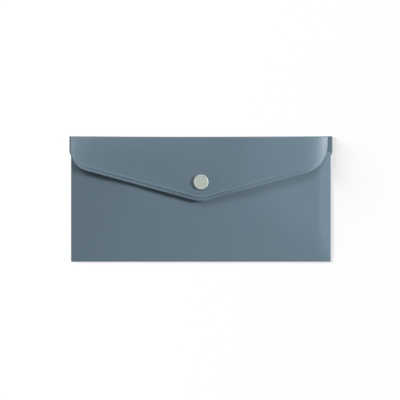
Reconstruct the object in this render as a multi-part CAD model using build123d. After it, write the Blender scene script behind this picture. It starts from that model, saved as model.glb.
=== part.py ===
from build123d import *
import os
from math import asin, degrees, sqrt

# A document wallet of soft PVC film, closed with a metal press stud and lying on its back.
# +X runs along the fold, +Y towards the fold and +Z out of the front.
# The origin is the middle of the wallet on the surface it lies on. Sizes are in millimetres.

# The films and the overall size
body_width = 240.0  # across the welded sides
wallet_height = 116.0  # from the bottom edge to the outside of the fold
film = 0.5  # back, front, fold and flap cover
lining_film = 0.3  # inner film of the flap
overrun = 5.0  # how far a cutting shape passes what it cuts
crease_gap = 0.04  # between the round edges of the fold and the films beside it

# The pocket
pocket_clear = 4.8  # height inside, between the two films
weld_width = 1.6  # flat welded edge at the sides and the bottom
left_run = 34.0  # width of the puffed slope at the left side
right_run = 50.0  # the same at the right side
bottom_crown = 0.2  # how far the bottom slope would rise over the level film at the press stud
mouth_depth = 14.3  # from the outside of the fold to the mouth
panel_corner_radius = 1.2  # lower corners of both panels

# The shoulders, where the back panel is wider beside the fold
shoulder_overhang = 1.6
shoulder_blend = 4.8
shoulder_radius = 8.0

# The flap
flap_inset = 1.2  # from the sides of the body to the sides of the flap
flap_side_depth = 28.5  # from the outside of the fold to where a side meets a slanted edge
flap_tip_depth = 61.0  # from the outside of the fold to where the slanted edges meet
flap_corner_radius = 17.0
flap_tip_radius = 30.0
left_droop_run = 30.0  # width of the curved end that hangs down at the left
left_droop = 6.0  # how far the left side of the flap hangs down
right_droop_run = 20.0  # the same at the right
right_droop = 6.5
groove_inset = 2.2  # from the edge of the flap to its weld groove
groove_width = 1.4
groove_depth = 0.2
lining_gap = 4.0  # from the fold to the edge of the lining

# The press stud
snap_depth = 42.5  # from the outside of the fold to its middle
snap_gap = 0.1  # between the stud and the parts of the flap when closed
fit_gap = 0.05  # round the barrels and the rivet flange
barrel_radius = 1.5
barrel_wall = 0.4
roll_width = 0.6  # how far a rolled barrel end stands out from the barrel
roll_height = 0.35
cap_radius = 7.0
cap_height = 1.6
cap_sheet = 0.35
cap_lip = 1.4  # width of the cap's edge that is turned in under the rivet
cap_ridge_share = 0.84  # radius of the cap's highest ring, of the cap's radius
cap_dish_share = 0.64  # radius of the flat middle, of the cap's radius
cap_dish_depth = 0.25
cap_side_share = 0.5  # height of the cap's widest point, of the cap's height
rivet_sheet = 0.35
rivet_rim = 1.3  # width of the rivet's raised rim
socket_radius = 5.75
socket_sheet = 0.45
socket_housing_radius = 4.6
socket_lip = 0.3  # under the spring
socket_chamfer = 0.4
wire_radius = 0.3
wire_gap = 0.04  # above and below the spring in its groove
wire_grip = 0.25  # how far the bulb reaches over the spring
spring_split = 40.0  # opening of the spring, in degrees
stud_radius = 5.5
stud_sheet = 0.45
bulb_radius = 2.7
bulb_lead = 0.39  # height of the slope that guides the bulb into the spring
neck_gap = 0.15  # between the neck and the spring
stud_wall = 0.35
post_radius = 5.0
post_sheet = 0.4

# Places that follow from these sizes
half_body = body_width / 2
half_pocket = half_body - weld_width
half_shoulder = half_body + shoulder_overhang
flap_half = half_body - flap_inset
y_fold = wallet_height / 2
y_bottom = -y_fold
y_weld = y_bottom + weld_width
y_mouth = y_fold - mouth_depth
y_axis = y_fold - film / 2
y_film_end = y_axis - film / 2 - crease_gap
y_snap = y_fold - snap_depth
z_roof = film + pocket_clear
z_front = z_roof + film
z_stud = z_front + stud_sheet
z_socket = z_stud + snap_gap
z_wire = z_socket + socket_lip + wire_gap + wire_radius
wire_ring = bulb_radius - wire_grip + wire_radius
neck_radius = bulb_radius - wire_grip - neck_gap
z_neck = z_wire + sqrt(2) * (wire_radius + snap_gap) - (wire_ring - neck_radius)
z_bulb = z_neck + bulb_radius - neck_radius
z_crown = z_bulb + bulb_lead
z_web = z_crown + 2 * roll_height + 2 * snap_gap
z_lining = z_web + socket_sheet
z_cover = z_lining + lining_film
z_flap = z_cover + film
z_back_axis = film / 2
z_flap_axis = z_cover + film / 2
hole_radius = barrel_radius + fit_gap
bore_radius = barrel_radius - barrel_wall
roll_radius = barrel_radius + roll_width


def bend_radius(run, drop):
    """Radius of an arc that starts level and falls by drop over run."""
    return (run**2 + drop**2) / (2 * drop)


def arch(flat_from, flat_to, near_radius, far_radius, top, base):
    """Area under a flat top that curves down to the base at both ends."""
    near_middle = top - near_radius
    far_middle = top - far_radius
    near_lean = degrees(asin((base - near_middle) / near_radius))
    far_lean = degrees(asin((base - far_middle) / far_radius))
    near_end = CenterArc((flat_from, near_middle), near_radius, 90, 90 - near_lean)
    far_end = CenterArc((flat_to, far_middle), far_radius, far_lean, 90 - far_lean)
    crown = Line(far_end @ 1, near_end @ 0)
    foot = Line(near_end @ 1, far_end @ 0)
    return make_face([far_end, crown, near_end, foot])


def block(x_from, x_to, y_from, y_to, z_from, z_to):
    """Box between two corners."""
    low = (Align.MIN, Align.MIN, Align.MIN)
    return Pos(x_from, y_from, z_from) * Box(x_to - x_from, y_to - y_from, z_to - z_from, align=low)


def below(y_to):
    """Everything on the bottom side of a line across the wallet."""
    z_to = z_flap + cap_height + overrun
    return block(-half_shoulder - overrun, half_shoulder + overrun, y_bottom - overrun, y_to, -overrun, z_to)


def turned(*outline):
    """Solid turned about the middle of the press stud, from lines of radius and height."""
    return Pos(0, y_snap, 0) * revolve(Plane.XZ * make_face(outline), Axis.Z)


def drilled(solid):
    """The solid with the hole that a barrel of the press stud goes through."""
    reach = z_flap + cap_height + overrun
    return solid - Pos(0, y_snap, 0) * Cylinder(hole_radius, 2 * reach)


def pocket_space(outward):
    """Space under the front film, or under its outside when moved outward by the film."""
    top = z_roof + outward
    left_radius = bend_radius(left_run, pocket_clear) + outward
    right_radius = bend_radius(right_run, pocket_clear) + outward
    bottom_radius = bend_radius(y_snap - y_weld, pocket_clear + bottom_crown) + outward
    across = arch(left_run - half_pocket, half_pocket - right_run, left_radius, right_radius, top, film)
    along = arch(y_snap, y_mouth + overrun, bottom_radius, bottom_radius, top + bottom_crown, film)
    ridge = extrude(Plane.XZ * across, wallet_height, both=True)
    return ridge & extrude(Plane.YZ * along, body_width, both=True)


def back_panel():
    """Flat back film, wider at the shoulders beside the fold."""
    side = [
        (half_body, y_bottom),
        (half_body, y_mouth - shoulder_blend),
        (half_shoulder, y_mouth),
        (half_shoulder, y_film_end),
    ]
    other_side = [(-x, y) for x, y in reversed(side)]
    sheet = make_face(Polyline(*side, *other_side, close=True))
    rows = sheet.vertices().group_by(Axis.Y)
    sheet = fillet(rows[1] + rows[2], shoulder_radius)
    sheet = fillet(sheet.vertices().group_by(Axis.Y)[0], panel_corner_radius)
    return extrude(sheet, film)


def front_panel():
    """Front film, puffed up over the pocket and flat where it is welded to the back."""
    sheet = Pos(0, (y_bottom + y_mouth) / 2) * Rectangle(body_width, y_mouth - y_bottom)
    sheet = fillet(sheet.vertices().group_by(Axis.Y)[0], panel_corner_radius)
    welded = extrude(Pos(0, 0, film) * sheet, film)
    puffed = pocket_space(film) & extrude(sheet, z_front + overrun)
    return drilled(welded + puffed - pocket_space(0))


def flap_space(outward):
    """Space under the middle of the flap cover, moved outward."""
    left_radius = bend_radius(left_droop_run, left_droop) + outward
    right_radius = bend_radius(right_droop_run, right_droop) + outward
    flat_from = left_droop_run - flap_half
    flat_to = flap_half - right_droop_run
    area = arch(flat_from, flat_to, left_radius, right_radius, z_flap_axis + outward, -overrun)
    return extrude(Plane.XZ * area, wallet_height, both=True)


def flap_outline(inset):
    """Outline of the flap drawn in from its edge, left long on the side of the fold."""
    y_side = y_fold - flap_side_depth
    y_far = y_fold + wallet_height
    corners = [(flap_half, y_far), (flap_half, y_side), (0, y_fold - flap_tip_depth)]
    corners += [(-flap_half, y_side), (-flap_half, y_far)]
    sheet = make_face(Polyline(*corners, close=True))
    rows = sheet.vertices().group_by(Axis.Y)
    sheet = fillet(rows[1], flap_corner_radius)
    sheet = fillet(sheet.vertices().group_by(Axis.Y)[0], flap_tip_radius)
    if inset:
        sheet = offset(sheet, -inset)
    return extrude(sheet, z_flap + overrun)


def flap_film(low, high, inset=0):
    """Film between two levels about the middle of the flap cover, within the flap's outline."""
    return (flap_space(high) - flap_space(low)) & flap_outline(inset)


def flap_cover():
    """Outer film of the flap, pressed in along the weld groove."""
    cover = flap_film(-film / 2, film / 2) & below(y_film_end)
    skin_low = film / 2 - groove_depth
    skin_high = film / 2 + groove_depth
    groove = flap_film(skin_low, skin_high, groove_inset)
    groove -= flap_outline(groove_inset + groove_width)
    return drilled(cover - groove)


def flap_lining():
    """Inner film of the flap, which stops short of the fold."""
    lining = flap_film(-film / 2 - lining_film, -film / 2)
    return drilled(lining & below(y_fold - lining_gap))


def fold_spine():
    """Strip between the two creases, with round edges on the crease axes."""
    height = z_flap_axis - z_back_axis
    section = SlotCenterToCenter(height, film, rotation=90)
    place = Pos(y_axis, z_back_axis + height / 2)
    strip = extrude(Plane.YZ * place * section, flap_half, both=True)
    return strip & flap_space(film / 2)


def snap_cap():
    """Pressed metal shell of the cap, with its edge turned in under the rivet."""
    z_top = z_flap + cap_height
    z_side = z_flap + cap_height * cap_side_share
    z_dish = z_top - cap_dish_depth
    z_lip = z_flap + cap_sheet
    ridge = cap_radius * cap_ridge_share
    dish = cap_radius * cap_dish_share
    inside = cap_radius - cap_sheet
    lip = cap_radius - cap_lip
    rim = RadiusArc((cap_radius, z_side), (ridge, z_top), -bend_radius(cap_radius - ridge, z_top - z_side))
    corners = [
        (dish, z_dish),
        (0, z_dish),
        (0, z_dish - cap_sheet),
        (dish, z_dish - cap_sheet),
        (ridge, z_top - cap_sheet),
        (inside, z_side),
        (inside, z_lip),
        (lip, z_lip),
        (lip, z_flap),
        (inside, z_flap),
        (cap_radius, z_lip),
    ]
    return turned(rim, Polyline(rim @ 1, *corners, rim @ 0))


def snap_cap_rivet():
    """Rivet held in the cap, with its barrel rolled over inside the socket."""
    step = cap_radius - cap_lip - fit_gap
    rim = cap_radius - cap_sheet - fit_gap
    z_rim = z_flap + cap_sheet
    z_end = z_web - roll_height
    corners = [
        (0, z_flap + rivet_sheet),
        (rim - rivet_rim, z_flap + rivet_sheet),
        (rim - rivet_rim, z_rim + rivet_sheet),
        (rim, z_rim + rivet_sheet),
        (rim, z_rim),
        (step, z_rim),
        (step, z_flap),
        (barrel_radius, z_flap),
        (barrel_radius, z_web),
        (roll_radius, z_web),
        (roll_radius, z_end),
        (bore_radius, z_end),
        (bore_radius, z_flap),
        (0, z_flap),
    ]
    return turned(Polyline(*corners, close=True))


def snap_socket():
    """Ring under the flap with the groove for the spring."""
    z_groove = z_socket + socket_lip
    z_groove_top = z_groove + 2 * (wire_radius + wire_gap)
    mouth = bulb_radius + wire_grip
    groove = wire_ring + wire_radius + wire_grip + wire_gap
    corners = [
        (hole_radius, z_lining),
        (socket_radius, z_lining),
        (socket_radius, z_web),
        (socket_housing_radius, z_web),
        (socket_housing_radius, z_socket + socket_chamfer),
        (socket_housing_radius - socket_chamfer, z_socket),
        (mouth, z_socket),
        (mouth, z_groove),
        (groove, z_groove),
        (groove, z_groove_top),
        (mouth, z_groove_top),
        (mouth, z_web),
        (hole_radius, z_web),
    ]
    return turned(Polyline(*corners, close=True))


def snap_spring():
    """Split wire ring that closes under the bulb of the stud."""
    section = Plane.XZ * Pos(wire_ring, z_wire) * Circle(wire_radius)
    return Pos(0, y_snap, 0) * revolve(section, Axis.Z, revolution_arc=360 - spring_split)


def snap_stud():
    """Hat-shaped stud on the front panel, with a neck, a bulb that catches the spring and a lead-in slope."""
    inside = neck_radius - stud_wall
    corners = [
        (inside, z_front),
        (stud_radius, z_front),
        (stud_radius, z_stud),
        (neck_radius, z_stud),
        (neck_radius, z_neck),
        (bulb_radius, z_bulb),
        (bulb_radius - bulb_lead, z_crown),
        (hole_radius, z_crown),
        (hole_radius, z_crown - stud_wall),
        (inside, z_crown - stud_wall),
    ]
    return turned(Polyline(*corners, close=True))


def snap_post():
    """Flanged tube inside the pocket, rolled over the top of the stud."""
    corners = [
        (bore_radius, z_roof - post_sheet),
        (post_radius, z_roof - post_sheet),
        (post_radius, z_roof),
        (barrel_radius, z_roof),
        (barrel_radius, z_crown),
        (roll_radius, z_crown),
        (roll_radius, z_crown + roll_height),
        (bore_radius, z_crown + roll_height),
    ]
    return turned(Polyline(*corners, close=True))


os.makedirs("parts", exist_ok=True)
for make in (
    back_panel,
    front_panel,
    fold_spine,
    flap_cover,
    flap_lining,
    snap_cap,
    snap_cap_rivet,
    snap_socket,
    snap_spring,
    snap_stud,
    snap_post,
):
    export_step(make(), f"parts/{make.__name__}.step")
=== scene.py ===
# %% [markdown]
# # A document wallet of soft PVC film
# A slim wallet lies on its back, closed, and is seen from straight above. It is welded from three films:
# a back that folds over at the top into a pointed flap, a puffed front pocket, and a lining inside the flap.
# A round metal press stud holds the flap down.
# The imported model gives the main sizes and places, and its hidden metal pieces stay as they are. Its films
# and the cap are replaced by surfaces that are worked out here, which sag, puff up and shine as soft film and
# pressed metal do.

# %% The frame that everything is built around
from math import cos, pi, radians, sin, tan

import bpy
import numpy as np
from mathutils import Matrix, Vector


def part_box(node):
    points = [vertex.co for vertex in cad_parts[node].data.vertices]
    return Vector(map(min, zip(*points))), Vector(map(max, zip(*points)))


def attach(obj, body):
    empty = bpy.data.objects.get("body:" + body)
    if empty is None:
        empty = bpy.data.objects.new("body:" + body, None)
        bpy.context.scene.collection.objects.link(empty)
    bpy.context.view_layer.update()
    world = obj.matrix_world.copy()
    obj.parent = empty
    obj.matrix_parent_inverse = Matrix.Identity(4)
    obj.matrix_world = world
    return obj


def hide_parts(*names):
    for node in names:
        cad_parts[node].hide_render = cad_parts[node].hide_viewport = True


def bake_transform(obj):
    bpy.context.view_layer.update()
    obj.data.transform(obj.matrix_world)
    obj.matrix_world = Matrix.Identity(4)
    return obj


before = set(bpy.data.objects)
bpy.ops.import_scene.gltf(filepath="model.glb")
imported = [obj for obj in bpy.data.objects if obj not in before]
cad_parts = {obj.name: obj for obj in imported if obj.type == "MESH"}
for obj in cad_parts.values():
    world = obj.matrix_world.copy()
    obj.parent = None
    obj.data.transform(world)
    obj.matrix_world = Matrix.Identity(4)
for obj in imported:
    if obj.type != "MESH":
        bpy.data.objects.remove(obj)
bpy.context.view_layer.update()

MM = 0.001  # the arrays below are in millimetres, and Blender works in metres

# %% [markdown]
# ## Camera
# The picture was taken from straight above, from far enough away that nothing leans.
# A long lens at a matching distance gives the same flat look. Blender's camera looks down its own -Z,
# so a camera without any turn already looks straight down with +Y at the top of the picture.

# %% Camera
picture_width = 369.4  # mm of the table that the picture spans
view_middle = (-0.8, -0.95)  # mm, the point in the middle of the picture
view_level = 4.0  # mm above the table, where the picture's scale holds
lens = 240.0  # mm
sensor = 36.0  # mm

camera = bpy.data.objects.new("camera", bpy.data.cameras.new("camera"))
camera.data.lens = lens
camera.data.sensor_width = sensor
camera_height = view_level + picture_width * lens / sensor
camera.location = (view_middle[0] * MM, view_middle[1] * MM, camera_height * MM)
bpy.context.scene.collection.objects.link(camera)
bpy.context.scene.camera = camera
bpy.context.scene.view_settings.view_transform = "Standard"
print("camera height, mm:", round(camera_height))

# %% [markdown]
# ## Colour and nodes
# Colours are written as the sRGB values that a colour picker shows. Blender's shaders want linear light,
# so one function turns the first into the second. Another adds a node, sets its values and makes its links:
# a socket among the inputs is linked, and anything else is set on the input itself.


# %% Colour and node helpers
def linear(hex_colour):
    """sRGB hex to linear RGBA: c/12.92 near black, else ((c + 0.055) / 1.055) to the power 2.4."""
    srgb = np.array([int(hex_colour[i : i + 2], 16) for i in (1, 3, 5)]) / 255
    rgb = np.where(srgb <= 0.04045, srgb / 12.92, ((srgb + 0.055) / 1.055) ** 2.4)
    return (*rgb.tolist(), 1.0)


def add(tree, kind, inputs=None, **settings):
    """Adds a node of a kind to a tree, with its settings, values and links."""
    node = tree.nodes.new(kind)
    for name, value in settings.items():
        setattr(node, name, value)
    for name, value in (inputs or {}).items():
        if isinstance(value, bpy.types.NodeSocket):
            tree.links.new(value, node.inputs[name])
        else:
            node.inputs[name].default_value = value
    return node


def per(size):
    """Scale of a pattern on Object coordinates whose features are about size millimetres."""
    return 1 / (size * MM)


def new_material(name):
    """An empty node material and its tree."""
    material = bpy.data.materials.new(name)
    material.use_nodes = True
    material.node_tree.nodes.clear()
    return material, material.node_tree


slate_blue = "#627683"
print("slate blue in linear light:", [round(v, 3) for v in linear(slate_blue)[:3]])

# %% [markdown]
# ## Table
# The picture's background is white right up to the wallet, with only a breath of shadow at the right and
# along the bottom. A fully lit white table would need so much light that the wallet would wash out. So most
# of what the camera sees of the table is a white glow, and the rest is a lit white surface that takes the
# shadow.

# %% Table
table_side = 6000.0  # mm
table_gap = 0.05  # mm below the back film

corner = table_side / 2 * MM
level = -table_gap * MM
corners = ((-1, -1), (1, -1), (1, 1), (-1, 1))
table_mesh = bpy.data.meshes.new("table")
table_mesh.from_pydata([(x * corner, y * corner, level) for x, y in corners], [], [(0, 1, 2, 3)])
table = bpy.data.objects.new("table", table_mesh)
bpy.context.scene.collection.objects.link(table)
print("table:", table_side, "mm wide")

# %% Table paint
shadow_share = 0.3  # of the table that shows light and shade to the camera


def camera_and_shiny(tree):
    """Two sockets of a tree: 1 for rays from the camera, and 1 for rays from shiny or clear surfaces."""
    rays = add(tree, "ShaderNodeLightPath").outputs
    pair = {0: rays["Is Glossy Ray"], 1: rays["Is Transmission Ray"]}
    return rays["Is Camera Ray"], add(tree, "ShaderNodeMath", pair, operation="MAXIMUM").outputs[0]


# matt white wall paint: the eye sees no gloss on it, only light and shade
table_paint, tree = new_material("white_table_paint")
camera_ray, shiny_ray = camera_and_shiny(tree)
seen = add(tree, "ShaderNodeMath", {0: camera_ray, 1: shiny_ray}, operation="MAXIMUM")
glow_share = add(tree, "ShaderNodeMath", {0: seen.outputs[0], 1: 1 - shadow_share}, operation="MULTIPLY")
lit = add(tree, "ShaderNodeBsdfDiffuse", {"Color": linear("#fdfdfd")})
glow = add(tree, "ShaderNodeEmission", {"Color": linear("#ffffff"), "Strength": 1.0})
mixed = add(tree, "ShaderNodeMixShader", {0: glow_share.outputs[0], 1: lit.outputs[0], 2: glow.outputs[0]})
add(tree, "ShaderNodeOutputMaterial", {"Surface": mixed.outputs[0]})
table_mesh.materials.append(table_paint)
print("paint:", table_paint.name)

# %% [markdown]
# ## Light
# The room is white to the camera and dim to the wallet. A lamp can be told which pieces it reaches.
# A small low lamp at the right lights the wallet alone. It draws the bright corner of the flap and the crisp
# dark shadow under its left edge, and on the white table it would throw a long shadow that the picture
# doesn't have. A large weak lamp behind brings out the weld lines, and it leaves the table out too.
# Two faint ones lift the pocket and the left end of the flap. A wide low lamp lights the table alone, and
# gives it the faint shadow at the right and along the bottom.

# %% Room
room_light = 0.18  # what the room gives to matt surfaces, where 1 is white
room_gloss = 0.2  # what shiny surfaces see of it

world = bpy.data.worlds.new("white_room")
bpy.context.scene.world = world
world.use_nodes = True
tree = world.node_tree
tree.nodes.clear()
camera_ray, shiny_ray = camera_and_shiny(tree)
dim = add(tree, "ShaderNodeMapRange", {"Value": shiny_ray, "To Min": room_light, "To Max": room_gloss})
strength = add(tree, "ShaderNodeMath", {0: camera_ray, 1: dim.outputs[0]}, operation="MAXIMUM")
room = add(tree, "ShaderNodeBackground", {"Color": linear("#ffffff"), "Strength": strength.outputs[0]})
add(tree, "ShaderNodeOutputWorld", {"Surface": room.outputs[0]})
print("room:", world.name, room_light)


# %% Lamps
def lamp(name, bearing, height, distance, size, power, aim=(0, 0, 0)):
    """Area light aimed at a point: bearing is turned from +X towards +Y and height is above the table, both
    in degrees, distance, aim and size (width, height) are in millimetres, and power is in watts."""
    data = bpy.data.lights.new(name, "AREA")
    data.shape = "RECTANGLE"
    data.size, data.size_y = size[0] * MM, size[1] * MM
    data.energy = power
    light = bpy.data.objects.new(name, data)
    flat = cos(radians(height))
    way = np.array([flat * cos(radians(bearing)), flat * sin(radians(bearing)), sin(radians(height))])
    light.location = ((aim + way * distance) * MM).tolist()
    light.rotation_euler = (radians(90 - height), 0, radians(bearing + 90))
    light.visible_camera = False
    bpy.context.scene.collection.objects.link(light)
    return light


def link_light(light, state, *pieces):
    """Lets a light reach these pieces alone (INCLUDE) or everything but them (EXCLUDE)."""
    group = bpy.data.collections.new(light.name + "_pieces")
    for number, piece in enumerate(pieces):
        group.objects.link(piece)
        group.collection_objects[number].light_linking.link_state = state
    light.light_linking.receiver_collection = group


left_end = (-124, 50, 4)  # mm, a point just past the left end of the flap
right_light = lamp("right_light", bearing=11, height=26, distance=1100, size=(200, 200), power=14.6)
back_light = lamp("back_light", bearing=120, height=36, distance=2400, size=(1500, 1000), power=27.0)
front_light = lamp("front_light", bearing=-90, height=32, distance=330, size=(240, 160), power=0.11)
left_light = lamp("left_light", bearing=180, height=19, distance=95, size=(60, 60), power=0.105, aim=left_end)
shadow_light = lamp("shadow_light", bearing=163, height=13, distance=12000, size=(5000, 3800), power=5560.0)
link_light(right_light, "EXCLUDE", table)
link_light(back_light, "EXCLUDE", table)
link_light(shadow_light, "INCLUDE", table)
print("lamps:", [light.name for light in (right_light, back_light, front_light, left_light, shadow_light)])

# %% [markdown]
# ## Meshes from arrays
# A film is a thin closed sheet. Its middle surface is a grid of points, row by row. The normals come from the
# grid itself: the step along the rows crossed with the step along the columns. Moving the grid out and in
# along them gives two skins, and a strip of faces round the rim closes them. A Solidify modifier would do
# much the same, but the outer skin also carries the relief of the welds, which needs a thickness of its own.


# %% Mesh helpers
def smooth(low, high, value):
    """Rises from 0 at low to 1 at high as 3t^2 - 2t^3."""
    t = np.clip((value - low) / (high - low), 0, 1)
    return t * t * (3 - 2 * t)


def spread(*stretches):
    """Places along a line from stretches of (start, end, steps), each point once."""
    runs = [np.linspace(start, end, steps, endpoint=False) for start, end, steps in stretches]
    return np.concatenate([*runs, [stretches[-1][1]]])


def put_mesh(name, points, faces, sharp=40):
    """A mesh object at the origin, smooth but for edges sharper than an angle in degrees."""
    mesh = bpy.data.meshes.new(name)
    mesh.from_pydata((points * MM).tolist(), [], faces)
    mesh.shade_smooth()
    mesh.set_sharp_from_angle(angle=radians(sharp))
    piece = bpy.data.objects.new(name, mesh)
    bpy.context.scene.collection.objects.link(piece)
    print(f"{name}: {len(mesh.vertices)} points, {len(mesh.polygons)} faces")
    return piece


def film_shell(name, middle, above, below, turn=1):
    """A closed film about a grid of points (rows, columns, 3): the outer skin is middle + normal * above and
    the inner one middle - normal * below, with normal = turn * (step along rows x step along columns)."""
    normal = turn * np.cross(np.gradient(middle, axis=0), np.gradient(middle, axis=1))
    normal /= np.linalg.norm(normal, axis=2, keepdims=True)
    outer = middle + normal * np.asarray(above)[..., None]
    inner = middle - normal * np.asarray(below)[..., None]
    rows, columns = middle.shape[:2]
    count = rows * columns
    number = np.arange(count).reshape(rows, columns)
    around = [number[:-1, :-1], number[:-1, 1:], number[1:, 1:], number[1:, :-1]]
    cells = np.stack(around, axis=2).reshape(-1, 4)
    rim = np.concatenate([number[0, :-1], number[:-1, -1], number[-1, :0:-1], number[:0:-1, 0]])
    onward = np.roll(rim, -1)
    edge = np.stack([rim, onward, onward + count, rim + count], axis=1)
    faces = np.concatenate([cells[:, ::-1], cells + count, edge])[:, ::turn]
    return put_mesh(name, np.concatenate([outer.reshape(-1, 3), inner.reshape(-1, 3)]), faces.tolist())


print("a smooth step a quarter of the way up:", smooth(0, 1, 0.25))

# %% [markdown]
# ## Sizes of the wallet
# The frame gives the levels of the films and the place of the press stud. What the eye sees beyond that, such
# as how far the corners of the flap hang down, is written in each step in millimetres.


# %% Sizes read from the frame
def node_box(name):
    """Lowest and highest corner of a CAD node in millimetres."""
    low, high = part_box(name)
    return np.array(low) / MM, np.array(high) / MM


back_low, back_high = node_box("back_panel")
front_high = node_box("front_panel")[1]
cap_low, cap_high = node_box("snap_cap")
film = back_high[2] - back_low[2]
half_body, half_shoulder = front_high[0], back_high[0]
y_bottom, y_mouth = back_low[1], front_high[1]
y_fold = node_box("fold_spine")[1][1] - film / 2
y_lining = node_box("flap_lining")[1][1]
z_back = film / 2
z_front = front_high[2] - film / 2
z_flap = node_box("flap_cover")[1][2] - film / 2
snap = (cap_low[:2] + cap_high[:2]) / 2
print("film", round(film, 3), "fold at y", round(y_fold, 2))
print("flap at z", round(z_flap, 3), "press stud at", snap.round(2))

# %% [markdown]
# ## The cut of the flap
# The flap is cut with straight sides, rounded corners and two slanted edges that meet in a blunt point.
# Two functions describe this cut on the flat: for every place across, where the edge lies, and for every
# point, how far it is from the edge. The first shapes the grid, and the second places the weld along the
# edge.

# %% The flap's cut
slant = radians(15.35)
tip_corner = -3.0  # mm, where the two slanted edges would meet
tip_radius = 30.0
left_half, right_half = 120.8, 118.1
left_radius, right_radius = 20.0, 30.0


def corner_of(u):
    """Distance from the middle line, then the half width on that side, and the radius and centre of the
    rounded corner there, whose circle touches the side and the slanted line."""
    half = np.where(u < 0, left_half, right_half)
    radius = np.where(u < 0, left_radius, right_radius)
    centre_x = half - radius
    return np.abs(u), half, radius, centre_x, tip_corner + tan(slant) * centre_x + radius / cos(slant)


def flap_edge(u):
    """Height y of the edge at u: a slanted line, rounded by an arc at the tip and another at each corner."""
    side, _, radius, centre_x, centre_y = corner_of(u)
    line = tip_corner + tan(slant) * side
    tip = tip_corner + tip_radius / cos(slant) - np.sqrt(np.maximum(tip_radius**2 - side**2, 0))
    corner = centre_y - np.sqrt(np.maximum(radius**2 - (side - centre_x) ** 2, 0))
    y = np.where(side < tip_radius * sin(slant), tip, line)
    return np.where(side > centre_x + radius * sin(slant), corner, y)


def edge_distance(u, y):
    """How far a point of the flat flap is from the nearest edge: to the arcs inside their sectors, else to
    the nearer of the side and the slanted line."""
    side, half, radius, centre_x, centre_y = corner_of(u)
    nearest = np.minimum(half - side, (y - tip_corner - tan(slant) * side) * cos(slant))
    across, down = side - centre_x, y - centre_y
    in_corner = (down < 0) & (across * cos(slant) + down * sin(slant) > 0)
    nearest = np.where(in_corner, radius - np.hypot(across, down), nearest)
    tip_y = y - tip_corner - tip_radius / cos(slant)
    in_tip = (tip_y < 0) & (side * cos(slant) < -tip_y * sin(slant))
    return np.where(in_tip, tip_radius - np.hypot(side, tip_y), nearest)


flap_tip = float(flap_edge(np.array(0.0)))
print("tip at y", round(flap_tip, 2))

# %% [markdown]
# ## How the flap hangs
# The press stud holds the flap level in the middle. From there its two wings sag towards the sides, as the
# pocket under them does, and the right one first rises a little. The film also dips towards the fold, most of
# all at the left, and at its tip. Both ends bend down over the sides. The right end is steepest at its rim,
# where it catches the light, and its bend moves inwards further from the fold.
# A bend carries each column along a curve whose slope grows, which nearly keeps the film's length.
# The fold is a touch hollow along its middle, as the picture shows.

# %% How far it hangs
fold_radius = 1.4
y_bend = y_fold - fold_radius
fold_hollow = 0.6  # mm that the middle of the fold lies further in than its ends
hollow_reach = 26.0  # mm from the fold over which that fades out
right_bend, right_run, right_power = radians(34.5), 30.0, 2.6  # end slope, bent length, power of growth
left_bend, left_run, left_power = radians(21), 30.0, 1  # the same at the left
lean_length = 110.0  # mm, the right bend moves inwards by (distance from the fold)^2 / (2 * lean_length)
right_sag, right_level, right_ease = 4.4, 40.0, 0.3  # fall of the right wing, where it begins and how softly
right_rise, rise_from, rise_to = 1.1, -10.0, 40.0  # what it rises before that, beside the press stud
left_sag, left_from, left_to = 2.6, 10.0, -96.0  # fall of the left wing, and where it begins and ends
fold_hold, hold_reach = 0.5, 26.0  # share of that fall that the fold takes away, and how far from it
fold_dip, dip_reach = 1.5, 22.0  # fall towards the fold, and how far from it the fall begins
dip_least, dip_from, dip_to = 0.2, 50.0, -20.0  # its share at the right, and where it grows to the whole
tip_dip, tip_from = 1.4, 7.0  # fall of the tip, and how far below the press stud it begins
stud_seat, seat_end = 5.0, 20.0  # mm round the press stud that stay level, and where the full hang begins
print("the fold's bend begins at y", round(y_bend, 2))

# %% Bent ends
curve_run_on, curve_steps = 1.2, 480  # a curve runs on a fifth past its run, in this many points


def bend_curve(slope, run, power):
    """Flat length, advance and drop along a bend whose slope grows as a power of the length: the advance is
    the sum of cos(slope) and the drop the sum of sin(slope)."""
    length, step = np.linspace(0, curve_run_on * run, curve_steps, retstep=True)
    angle = slope * (length / run) ** power
    return length, (np.cumsum(np.cos(angle)) - 1) * step, np.cumsum(np.sin(angle)) * step


right_curve = bend_curve(right_bend, right_run, right_power)
left_curve = bend_curve(left_bend, left_run, left_power)


def bend(u):
    """Where a column of the flat flap goes: (x, drop). The ends follow their curves, the rest stays level."""
    right = np.clip(u - right_half + right_run, 0, None)
    left = np.clip(-u - left_half + left_run, 0, None)
    x = np.clip(u, left_run - left_half, right_half - right_run)
    x = x + np.interp(right, *right_curve[:2]) - np.interp(left, *left_curve[:2])
    return x, np.interp(right, *right_curve[::2]) + np.interp(left, *left_curve[::2])


print("drop of the left and right end, mm:", bend(np.array([-left_half, right_half]))[1].round(2))


# %% The flap's surface
def hollow(x):
    """How far the fold lies in at x: a parabola that is zero at the ends."""
    return fold_hollow * (1 - (x / half_shoulder) ** 2)


def sag(beyond, length, ease):
    """A straight fall to 1 that sets in softly: t^2 (1 + ease) / (t + ease), with t = beyond / length."""
    t = np.clip(beyond / length, 0, None)
    return t**2 * (1 + ease) / (t + ease)


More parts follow.
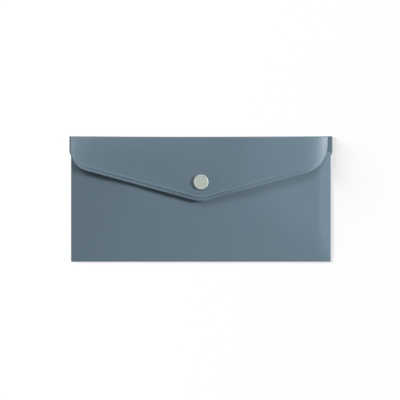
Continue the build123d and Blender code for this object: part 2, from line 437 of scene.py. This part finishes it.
def flap_level(u, y):
    """Level of the flap's middle: its level at the press stud, less the drop of the bent ends and the hang.
    The hang is the sag of the wings, less what the fold takes from the left one and what the right one rises,
    and the dips towards the fold and the tip. It is none at the press stud and sets in round it."""
    held = 1 - fold_hold * smooth(y_bend - hold_reach, y_bend, y)
    left = left_sag * smooth(left_from, left_to, u) * held
    right = right_sag * sag(u - right_level, right_half - right_level, right_ease)
    right = right - right_rise * smooth(rise_from, rise_to, u)
    dip_share = dip_least + (1 - dip_least) * smooth(dip_from, dip_to, u)
    dip = fold_dip * np.clip((y - y_bend + dip_reach) / dip_reach, 0, 1) ** 2 * dip_share
    tip = tip_dip * smooth(snap[1] - tip_from, flap_tip, y)
    calm = smooth(stud_seat, seat_end, np.hypot(u - snap[0], y - snap[1]))
    lean = np.where(u > 0, (y_bend - y) ** 2 / (2 * lean_length), 0)
    return z_flap - bend(u + lean)[1] - (left + right + dip + tip) * calm


def flap_rows(u, y):
    """Points of the flap's middle surface for flat places u across and y along."""
    x = bend(u)[0]
    inward = smooth(y_bend - hollow_reach, y_bend, y) * hollow(x)
    return np.stack([x, y - inward, flap_level(u, y)], axis=2)


print("level of the fold's ends, mm:", flap_level(np.array([-left_half, right_half]), y_bend).round(2))

# %% [markdown]
# ## The back film and the lower crease
# The back lies flat on the table. It is a little wider beside the fold, where the film is cut with shoulders,
# and at the top it bends up into the narrow spine, halfway up to the fold. At the right its free edge curls
# up above the pocket. A grid does all of this: its rows run from the bottom edge, round the crease and up the
# spine.

# %% Crease and shoulders
crease_radius = 2.5
y_crease = y_fold - crease_radius
shoulder_length = 4.8  # mm over which a side steps out to its shoulder
lower_corner = 0.7  # mm, radius of the lower corners


def fold_rise(x):
    """Height of the fold over the back film at x."""
    return flap_level(np.clip(x, -left_half, right_half), y_bend) - z_back


def seam_level(x):
    """Level at which the back film hands over to the flap film: halfway up the spine."""
    return z_back + fold_rise(x) / 2


def corner_round(y):
    """How far a side steps in near the bottom edge: a quarter circle at the lower corners."""
    rise = np.clip(lower_corner - (y - y_bottom), 0, lower_corner)
    return lower_corner - np.sqrt(lower_corner**2 - rise**2)


print("seam at the middle, mm:", round(float(seam_level(0.0)), 2))

# %% Back film
spine_inset, inset_from = 0.3, 0.2  # mm that a spine's end lies in, and the share of the climb it begins at
edge_curl, curl_width, curl_start = 0.55, 4.5, 2.0  # mm: height, width, and length over which it sets in
bend_share = 0.45  # of the fold's height that a crease or fold takes at most
turn_steps = 13  # points round a quarter bend
fine_from = 0.95  # share of the half width past which the columns lie close together


def back_grid():
    """Rows climb from the bottom edge to the seam and columns run across. Flat rows lie at the film's middle,
    the crease is a quarter of an ellipse, and the width follows the shoulders."""
    shoulder_from = y_mouth - shoulder_length
    flat_y = spread((y_bottom, y_bottom + lower_corner, 8), (y_bottom + lower_corner, shoulder_from, 24),
                    (shoulder_from, y_mouth, 14), (y_mouth, y_crease, 12))
    turn = np.linspace(0, pi / 2, turn_steps)[1:]
    y = np.concatenate([flat_y, y_crease + crease_radius * np.sin(turn), [y_fold]])
    climb = np.concatenate([0 * flat_y, 1 - np.cos(turn), [1]])
    half = half_body + (half_shoulder - half_body) * smooth(shoulder_from, y_mouth, y) - corner_round(y)
    half -= spine_inset * smooth(inset_from, 1, climb)
    x = half[:, None] * spread((-1, -fine_from, 12), (-fine_from, fine_from, 96), (fine_from, 1, 12))
    curl = edge_curl * smooth(half_shoulder - curl_width, half_shoulder, x)
    curl = curl * smooth(y_mouth, y_mouth + curl_start, y)[:, None]
    z = z_back + climb[:, None] * np.minimum(crease_radius, bend_share * fold_rise(x)) + curl
    z[-1] = seam_level(x[-1])
    inward = smooth(y_crease - hollow_reach / 2, y_crease, y)[:, None] * hollow(x)
    return np.stack([x, y[:, None] - inward, z], axis=2)


back_middle = back_grid()
back_skin = np.full(back_middle.shape[:2], film / 2)
back_film = film_shell("back_film", back_middle, back_skin, back_skin)
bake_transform(back_film)
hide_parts("back_panel")

# %% [markdown]
# ## The front film
# The front is welded to the back along three sides. Between the welds it stands off like a flat pillow, and
# it falls to the welds in long gentle slopes. The right one eases off before a short steep end.
# Each side has its own slope. The height is the smaller of them, and where two meet they melt into each
# other, because a plain minimum would leave a hard mitre in the corners. Faint waves break up the level part.

# %% The pocket's height
weld_width = 1.6
z_weld = 1.5 * film  # middle of the front film where it is welded to the back film
pocket_rise = z_front - z_weld
left_slope, bottom_slope = (46, 76), (48, 70)  # mm from the weld: straight to the first, level past the other
right_slope, right_easing = (44, 92), (10, 84)  # the right slope is half of this kind and half a smooth step
steep_slope, steep_share = (6, 13), 0.28  # its steep end, and the share of the height that this takes
corner_blend = 0.25  # share of the height within which two slopes melt into each other
still_from, still_to = 6.5, 30.0  # mm from the press stud between which the waves set in
wave_height, wave_length, wave_shift = 0.16, (31, 37), (0.8, -0.4)  # mm, mm for each radian, radians
ripple_height, ripple_length = 0.10, (17, 23)
wave_drop = 0.15  # mm that the middle of the waves lies lower


def shoulder(distance, near, far):
    """Share of the full height at a distance from the weld: a straight slope to near, level after far."""
    share = np.clip((far - distance) / (far - near), 0, 1)
    fall = (far - near) * (share**3 - share**4 / 2) + np.clip(near - distance, 0, None)
    return 1 - fall / ((near + far) / 2)


def front_height(x, y):
    """Middle level of the front film: base + rise * the smaller of the slopes across and along, which melt
    into each other at the corners, with faint waves that fade out at the welds and round the press stud."""
    inside = half_body - weld_width - np.abs(x)
    long_slope = (shoulder(inside, *right_slope) + smooth(*right_easing, inside)) / 2
    right = (1 - steep_share) * long_slope + steep_share * shoulder(inside, *steep_slope)
    across = np.where(x > 0, right, shoulder(inside, *left_slope))
    along = shoulder(y - y_bottom - weld_width, *bottom_slope)
    blunt = np.clip(corner_blend - np.abs(across - along), 0, None) ** 2 / (4 * corner_blend)
    calm = smooth(still_from, still_to, np.hypot(x - snap[0], y - snap[1])) * across * along
    wave = wave_height * np.sin(x / wave_length[0] + wave_shift[0])
    wave = wave * np.cos(y / wave_length[1] + wave_shift[1])
    wave = wave + ripple_height * np.sin(x / ripple_length[0] - y / ripple_length[1]) - wave_drop
    return z_weld + pocket_rise * (np.minimum(across, along) - blunt) + calm * wave


print("pocket at the press stud, mm:", round(float(front_height(*snap)), 2))

# %% Front film
weld_band = np.concatenate([[0, 0.2, 0.5, 0.9, 1.3, 1.5, 1.7],
                            spread((2, 5, 6), (5, 16, 10))])  # mm from an edge
mouth_band = np.array([0.4, 0.8, 1.2])  # mm, the last rows before the mouth
even_from = 18.0  # mm from an edge where the even steps begin
even_rows, even_columns = 58, 68


def front_grid():
    """Rows climb from the bottom edge to the mouth and columns run across, closer together at the welds."""
    mouth = y_mouth - mouth_band[-1]
    y = np.linspace(y_bottom + even_from, mouth, even_rows)
    y = np.concatenate([y_bottom + weld_band, y, mouth + mouth_band])
    across = np.concatenate([weld_band, np.linspace(even_from, half_body, even_columns)])
    across = np.concatenate([across - half_body, (half_body - across[:-1])[::-1]]) / half_body
    x = (half_body - corner_round(y))[:, None] * across
    y = np.broadcast_to(y[:, None], x.shape)
    return np.stack([x, y, front_height(x, y)], axis=2)


front_middle = front_grid()
front_skin = np.full(front_middle.shape[:2], film / 2)
front_film = film_shell("front_film", front_middle, front_skin, front_skin, turn=-1)
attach(front_film, "pocket")
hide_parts("front_panel")

# %% [markdown]
# ## The flap film
# The film climbs the upper half of the spine, bends over the fold and runs down to its edge. The lining is
# welded under it all round with a heated bar, which leaves a soft ridge, a shallow band and a thin lip along
# the edge. This relief is a real shape, so it is added to the thickness of the outer skin, as a function of
# the distance from the edge. The grid's rows and columns crowd together where the weld is.

# %% The weld's relief
ridge_height, ridge_foot, ridge_crest = 0.5, 5.1, 4.2  # mm, the last two from the edge, as are those below
band_fall, band_end = 0.42, 1.6  # fall from the ridge across the weld, and where it ends
lip_height, lip_foot, lip_crest = 0.2, 1.5, 0.8
edge_round, round_width = 0.3, 0.36  # how far the edge is rounded off, and how wide
tip_level, tip_width = 0.85, 9.0  # share of its fall that the weld loses at the tip, and how far to each side
fold_fade = (2, 9)  # mm from the fold between which the relief sets in
right_fade, left_fade, left_least = (112, 100), (-116, -100), 0.3  # the same across, and the left end's share


def weld_relief(distance, u):
    """Height of the outer skin over its film near the welded edge: a step up at the inside of the weld, a
    slow fall across it, a lip along the edge and a rounded edge. At the tip the weld hardly falls."""
    fall = band_fall * (1 - tip_level * np.exp(-((u / tip_width) ** 2)))
    ridge = ridge_height * smooth(ridge_foot, ridge_crest, distance)
    ridge = ridge - fall * smooth(ridge_crest, band_end, distance)
    lip = lip_height * smooth(lip_foot, lip_crest, distance)
    rounding = -edge_round * np.exp(-((distance / round_width) ** 2))
    return ridge + lip + rounding


def weld_share(u, y):
    """How much of the relief shows: none at the fold and the right end, and only a part at the left end."""
    along = smooth(y_fold - fold_fade[0], y_fold - fold_fade[1], y)
    return along * smooth(*right_fade, u) * (left_least + (1 - left_least) * smooth(*left_fade, u))


print("ridge height, mm:", round(float(weld_relief(np.array(ridge_crest), left_half)), 2))

# %% Rows and columns of the flap
edge_band = np.concatenate([[0, 0.12, 0.3, 0.5, 0.8, 1.1, 1.5, 2, 2.6, 3.2, 3.8],
                            spread((4.1, 5.3, 6)), [6, 7, 8.4, 10]])  # mm from an edge
left_columns = np.linspace(11.4, 30, 18)  # mm from the left side
right_columns = np.linspace(11.4, 34, 22)  # mm from the right side
middle_columns = 112
flat_rows = 42
band_room = 1.6  # the edge band shrinks where the flap's depth is less than this many bands


def flap_columns():
    """Places across the flat flap, close together at the sides, where the weld and the corners are."""
    left = -left_half + np.concatenate([edge_band, left_columns])
    right = (right_half - np.concatenate([edge_band, right_columns]))[::-1]
    return np.concatenate([left, np.linspace(left[-1], right[0], middle_columns)[1:-1], right])


def flap_flat_rows(u, y_top):
    """Heights y from the fold's end of the flap down to its edge, close together along the edge."""
    edge = flap_edge(u)
    depth = y_top - edge
    near = edge_band[::-1] / cos(slant)
    near = near[:, None] * np.minimum(1, depth / (band_room * near[0]))
    far = np.linspace(0, 1, flat_rows)[:, None] * (depth - near[0])
    return np.concatenate([y_top - far, edge + near[1:]])


print("columns of the flap:", len(flap_columns()))

# %% Flap film
climb_steps = 6  # points up the spine


def flap_grid():
    """Rows climb the spine from the seam, turn over the fold in a quarter ellipse, which is fold_radius long
    and fold_depth high, and run down to the edge."""
    u = flap_columns()
    flat_y = flap_flat_rows(u, y_bend)
    flat_u = np.broadcast_to(u, flat_y.shape)
    flat = flap_rows(flat_u, flat_y)
    x, y, z = flat[0].T
    turn = np.linspace(0, pi / 2, turn_steps)[:-1, None]
    fold_depth = np.minimum(fold_radius, bend_share * (z - z_back))
    fold = np.stack([x + 0 * turn, y + fold_radius * np.cos(turn),
                     z - fold_depth * (1 - np.sin(turn))], axis=2)
    climb = np.linspace(0, 1, climb_steps)[:-1, None]
    seam_x = x * (half_shoulder - spine_inset) / np.where(x < 0, -x[0], x[-1])
    seam_z = seam_level(seam_x)
    spine = np.stack([seam_x + climb * (x - seam_x), fold[0, :, 1] + 0 * climb,
                      seam_z + climb * (fold[0, :, 2] - seam_z)], axis=2)
    return np.concatenate([spine, fold, flat]), flat_u, flat_y


flap_middle, flap_u, flap_y = flap_grid()
relief = np.zeros(flap_middle.shape[:2])
relief[-len(flap_y) :] = weld_relief(edge_distance(flap_u, flap_y), flap_u) * weld_share(flap_u, flap_y)
flap_film = film_shell("flap_film", flap_middle, film / 2 + relief, np.full(relief.shape, film / 2))
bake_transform(flap_film)
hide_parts("flap_cover", "fold_spine")

# %% [markdown]
# ## The lining of the flap
# A thinner film lines the flap and is welded to it along the edge. It only shows when the wallet is open.
# It follows the flap's own surface at a fixed distance, so the two never cross.

# %% Lining film
lining_thick = 0.28
lining_gap = 0.02  # mm between the two films
lining_inset = 0.15  # mm that its edge lies inside the flap's


def lining_grid():
    """The flap's own rows, from a line just short of the fold to a little inside the edge."""
    u = flap_columns()
    u = u * (1 - lining_inset / np.where(u < 0, left_half, right_half))
    y = np.maximum(flap_flat_rows(u, y_lining), flap_edge(u) + lining_inset)
    return flap_rows(np.broadcast_to(u, y.shape), y)


lining_middle = lining_grid()
# both skins lie under the middle of the flap film, whose rows the grid follows
far_skin = np.full(lining_middle.shape[:2], film / 2 + lining_gap + lining_thick)
lining_film = film_shell("lining_film", lining_middle, lining_thick - far_skin, far_skin)
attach(lining_film, "flap")
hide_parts("flap_lining")

# %% [markdown]
# ## The two faint lamps
# Now that the films are there, the two faint lamps can be told which of them they reach. One lifts the front
# of the pocket a little. The other stands close to the left end of the flap and lights its bend and the
# shoulder under it. A lamp that is linked like this leaves every other piece as it is.

# %% What the faint lamps reach
link_light(left_light, "INCLUDE", flap_film, back_film)
link_light(front_light, "INCLUDE", front_film)
print("left lamp on", flap_film.name, "and", back_film.name, "- front lamp on", front_film.name)

# %% [markdown]
# ## The cap of the press stud
# The cap is a shallow disc, pressed from sheet metal, with a low rounded bead round a barely sunken middle.
# A lathe shape fits it: one profile from the middle of the top, over the bead and under the rolled edge,
# carried round the axis.


# %% A lathe
def turned_mesh(name, radius, height, middle, steps=96):
    """A closed lathe shape: each profile point (radius, height) goes round a circle, and the first and last,
    which lie on the axis, are single points."""
    angle = np.linspace(0, 2 * pi, steps, endpoint=False)
    reach = radius[1:-1, None]
    ring = np.stack([middle[0] + reach * np.cos(angle), middle[1] + reach * np.sin(angle),
                     height[1:-1, None] + 0 * angle], axis=2)
    poles = np.array([[*middle, height[0]], [*middle, height[-1]]])
    points = np.concatenate([ring.reshape(-1, 3), poles])
    number = np.arange(ring.shape[0] * steps).reshape(-1, steps)
    onward = np.roll(number, -1, axis=1)
    cells = np.stack([number[:-1], number[1:], onward[1:], onward[:-1]], axis=2).reshape(-1, 4)
    top = np.stack([number[0], onward[0], np.full(steps, len(points) - 2)], axis=1)
    bottom = np.stack([onward[-1], number[-1], np.full(steps, len(points) - 1)], axis=1)
    return put_mesh(name, points, cells.tolist() + top.tolist() + bottom.tolist(), sharp=60)


cap_radius = (cap_high[0] - cap_low[0]) / 2
cap_base, cap_top = cap_low[2], cap_high[2]
print("cap radius", round(cap_radius, 2), "mm, from z", round(cap_base, 2), "to", round(cap_top, 2))

# %% Cap
bead_radius = 6.1  # mm from the axis to the crest of the bead
bead_width = 1.1
bead_height = 0.13
middle_dome = 0.03
wall_foot = 0.5  # mm above the film where the rounded side ends
foot_in, foot_up = np.array([0, 0.1, 0.35]), np.array([0.3, 0.1, 0])  # mm, steps of the rolled foot
foot_radius = 3.0  # mm, a ring of points halfway to the axis under the cap
top_steps, side_steps = 40, 17


def cap_profile():
    """Radius and height: a barely domed middle, a smooth rise to the bead, a quarter ellipse down the side
    and a rolled foot."""
    top_r = np.linspace(0, bead_radius, top_steps)
    sunken = 1 - smooth(bead_radius - bead_width, bead_radius, top_r)
    top_z = cap_top - bead_height * sunken + middle_dome * (1 - (top_r / bead_radius) ** 2)
    turn = np.linspace(0, pi / 2, side_steps)[1:]
    side_r = bead_radius + (cap_radius - bead_radius) * np.sin(turn)
    side_z = cap_base + wall_foot + (cap_top - cap_base - wall_foot) * np.cos(turn)
    foot_r = np.concatenate([cap_radius - foot_in, [foot_radius, 0]])
    foot_z = cap_base + np.concatenate([foot_up, [0, 0]])
    return np.concatenate([top_r, side_r, foot_r]), np.concatenate([top_z, side_z, foot_z])


cap = turned_mesh("cap", *cap_profile(), snap)
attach(cap, "flap")
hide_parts("snap_cap")

# %% [markdown]
# ## PVC film
# The films are plasticised PVC, calendered between rollers and then welded. That gives an even, satin
# surface: a soft broad highlight, a very fine grain and hardly any change of colour.
# Noise on Object coordinates gives the grain and the cloudiness without any seams between the pieces.

# %% PVC film
film_grain = 1.4  # mm, drawn coarser than the rollers' real grain of about 0.3 mm, which would not show
grain_depth, grain_strength = 0.06, 0.08  # mm, and the share of it that the bump shows
gloss_change = 0.05  # how far the grain changes the roughness
film_cloud = 30.0  # mm over which the film's thickness wanders, which the eye sees as faint clouds
cloud_tone = 0.02  # share of its brightness that the colour gains or loses there
pvc_ior = 1.53
pvc_specular = 0.38  # under Blender's plain 0.5, because the rolled skin is satin and not polished


def pvc_film(name, colour, roughness):
    """Calendered PVC: satin, with a fine grain and a faint cloudiness."""
    material, tree = new_material(name)
    place = add(tree, "ShaderNodeTexCoord").outputs["Object"]
    grain = add(tree, "ShaderNodeTexNoise",
                {"Vector": place, "Scale": per(film_grain), "Detail": 4.0, "Roughness": 0.6})
    cloud = add(tree, "ShaderNodeTexNoise", {"Vector": place, "Scale": per(film_cloud), "Detail": 3.0})
    tone = add(tree, "ShaderNodeMapRange",
               {"Value": cloud.outputs["Fac"], "To Min": 1 - cloud_tone, "To Max": 1 + cloud_tone})
    shade = add(tree, "ShaderNodeHueSaturation", {"Value": tone.outputs[0], "Color": linear(colour)})
    gloss = add(tree, "ShaderNodeMapRange",
                {"Value": grain.outputs["Fac"], "To Min": roughness - gloss_change,
                 "To Max": roughness + gloss_change})
    relief = add(tree, "ShaderNodeBump",
                 {"Height": grain.outputs["Fac"], "Strength": grain_strength, "Distance": grain_depth * MM})
    skin = add(tree, "ShaderNodeBsdfPrincipled",
               {"Base Color": shade.outputs[0], "Roughness": gloss.outputs[0], "IOR": pvc_ior,
                "Specular IOR Level": pvc_specular, "Normal": relief.outputs[0]})
    add(tree, "ShaderNodeOutputMaterial", {"Surface": skin.outputs[0]})
    return material


slate_film = pvc_film("calendered_pvc_film", slate_blue, roughness=0.5)
slate_lining = pvc_film("matte_pvc_lining", "#60737f", roughness=0.55)
for piece in (back_film, front_film, flap_film):
    piece.data.materials.append(slate_film)
lining_film.data.materials.append(slate_lining)
print("PVC on", back_film.name, front_film.name, flap_film.name, lining_film.name)

# %% [markdown]
# ## Nickel and spring wire
# The press stud is pressed from brass, tumbled and plated with satin nickel, a pale metal with blurred
# reflections. The hidden spring is drawn wire, a little darker and shinier.
# A metal shows what is around it. Here that is mostly a dim white room, so the plate is part metal and part
# plain pale surface, as a lacquered plate is, and it keeps its own colour in any light.

# %% Metals
mark_depth, mark_strength = 0.03, 0.3  # mm, and the share of it that the bump shows
mark_gloss = 0.08  # how far the marks change the roughness


def plated_metal(name, colour, roughness, mark_size, metallic=1.0):
    """Tumbled metal: blurred reflections, broken up by fine marks. Real ones are about 0.1 mm wide, and they
    are drawn coarser, because finer ones would not show in the picture."""
    material, tree = new_material(name)
    place = add(tree, "ShaderNodeTexCoord").outputs["Object"]
    marks = add(tree, "ShaderNodeTexNoise", {"Vector": place, "Scale": per(mark_size), "Detail": 3.0})
    gloss = add(tree, "ShaderNodeMapRange",
                {"Value": marks.outputs["Fac"], "To Min": roughness - mark_gloss,
                 "To Max": roughness + mark_gloss})
    relief = add(tree, "ShaderNodeBump",
                 {"Height": marks.outputs["Fac"], "Strength": mark_strength, "Distance": mark_depth * MM})
    skin = add(tree, "ShaderNodeBsdfPrincipled",
               {"Base Color": linear(colour), "Metallic": metallic, "Roughness": gloss.outputs[0],
                "Normal": relief.outputs[0]})
    add(tree, "ShaderNodeOutputMaterial", {"Surface": skin.outputs[0]})
    return material


nickel = plated_metal("satin_nickel_plate", "#c2cbc1", roughness=0.62, mark_size=0.8, metallic=0.5)
wire = plated_metal("drawn_spring_wire", "#a89c86", roughness=0.3, mark_size=0.5)
plated_nodes = ("snap_cap_rivet", "snap_socket", "snap_stud", "snap_post")
finishes = {**dict.fromkeys(plated_nodes, nickel), "snap_spring": wire}
cap.data.materials.append(nickel)
for node, finish in finishes.items():
    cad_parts[node].data.materials.clear()
    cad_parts[node].data.materials.append(finish)
print("metal on the cap and", len(finishes), "CAD nodes")
